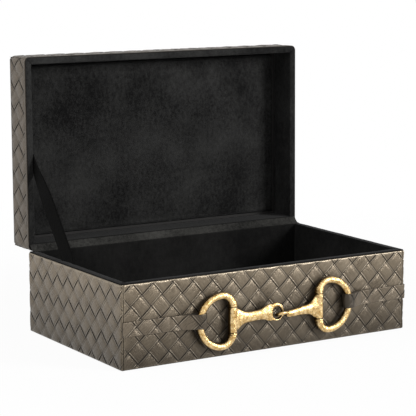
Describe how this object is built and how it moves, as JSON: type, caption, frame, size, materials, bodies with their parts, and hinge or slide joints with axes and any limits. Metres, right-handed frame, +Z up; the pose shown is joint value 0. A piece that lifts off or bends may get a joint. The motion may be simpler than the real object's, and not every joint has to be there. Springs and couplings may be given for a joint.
{
  "type": "storage box",
  "caption": "Rectangular storage box with a hinged lid, woven-pattern leather cover, dark suede lining and a jointed snaffle bit held by straps across the front.",
  "frame": {"origin": "centre of the underside", "axes": "+Z up, +X along the width towards the right as seen from the front, -Y out of the front"},
  "size_m": [0.3062, 0.2294, 0.2568],
  "materials": {
    "board": "matte black-dyed fibreboard",
    "cover_leather": "satin, embossed with a diagonal plain weave",
    "strap_leather": "satin, embossed with a diagonal plain weave",
    "lining_suede": "matte nap",
    "pad_suede": "matte nap over padding",
    "felt": "matte felt",
    "ribbon": "satin ribbon",
    "hinge_steel": "blackened steel",
    "antique_gold": "antique gold, pitted casting"
  },
  "bodies": {
    "base": {"base_bottom_board": "board", "base_front_board": "board", "base_back_board": "board", "base_left_board": "board", "base_right_board": "board", "base_front_cover": "cover_leather", "base_side_cover": "cover_leather", "base_felt": "felt", "base_front_lining": "lining_suede", "base_back_lining": "lining_suede", "base_left_lining": "lining_suede", "base_right_lining": "lining_suede", "base_floor_pad": "pad_suede", "left_strap": "strap_leather", "right_strap": "strap_leather", "stay_ribbon": "ribbon", "hinge_strip": "lining_suede", "left_hinge_base_leaf": "hinge_steel", "left_hinge_pin": "hinge_steel", "right_hinge_base_leaf": "hinge_steel", "right_hinge_pin": "hinge_steel", "base_hinge_screws": "hinge_steel"},
    "lid": {"lid_top_board": "board", "lid_front_board": "board", "lid_back_board": "board", "lid_left_board": "board", "lid_right_board": "board", "lid_cover": "cover_leather", "lid_front_lining": "lining_suede", "lid_back_lining": "lining_suede", "lid_left_lining": "lining_suede", "lid_right_lining": "lining_suede", "lid_pad": "pad_suede", "left_hinge_lid_leaf": "hinge_steel", "right_hinge_lid_leaf": "hinge_steel", "lid_hinge_screws": "hinge_steel"},
    "left_ring": {"left_ring": "antique_gold"},
    "right_ring": {"right_ring": "antique_gold"},
    "left_mouthpiece": {"left_mouthpiece": "antique_gold"},
    "right_mouthpiece": {"right_mouthpiece": "antique_gold"}
  },
  "joints": [
    {"name": "lid_hinge", "type": "hinge", "parent": "base", "child": "lid", "pos_m": [0, 0.0894, 0.0764], "axis": [-1, 0, 0], "range_deg": [-90.7, 0], "deforming": ["stay_ribbon", "hinge_strip"]},
    {"name": "left_ring_swing", "type": "hinge", "parent": "base", "child": "left_ring", "pos_m": [-0.07447, -0.0937, 0.0332], "axis": [0, 0, 1], "range_deg": [-3.5, 0]},
    {"name": "right_ring_swing", "type": "hinge", "parent": "base", "child": "right_ring", "pos_m": [0.08226, -0.0937, 0.0348], "axis": [0, 0, 1], "range_deg": [0, 3.5]},
    {"name": "left_mouthpiece_swivel", "type": "hinge", "parent": "left_ring", "child": "left_mouthpiece", "pos_m": [-0.043, -0.0937, 0.0332], "axis": [0, 0, 1], "range_deg": [-1.75, 0]},
    {"name": "right_mouthpiece_swivel", "type": "hinge", "parent": "right_ring", "child": "right_mouthpiece", "pos_m": [0.05, -0.0937, 0.0348], "axis": [0, 0, 1], "range_deg": [0, 1.75]}
  ],
  "couplings": [
    {"joint": "right_ring_swing", "follows": "left_ring_swing", "ratio": -1},
    {"joint": "left_mouthpiece_swivel", "follows": "left_ring_swing", "ratio": 0.5},
    {"joint": "right_mouthpiece_swivel", "follows": "left_ring_swing", "ratio": -0.5}
  ]
}
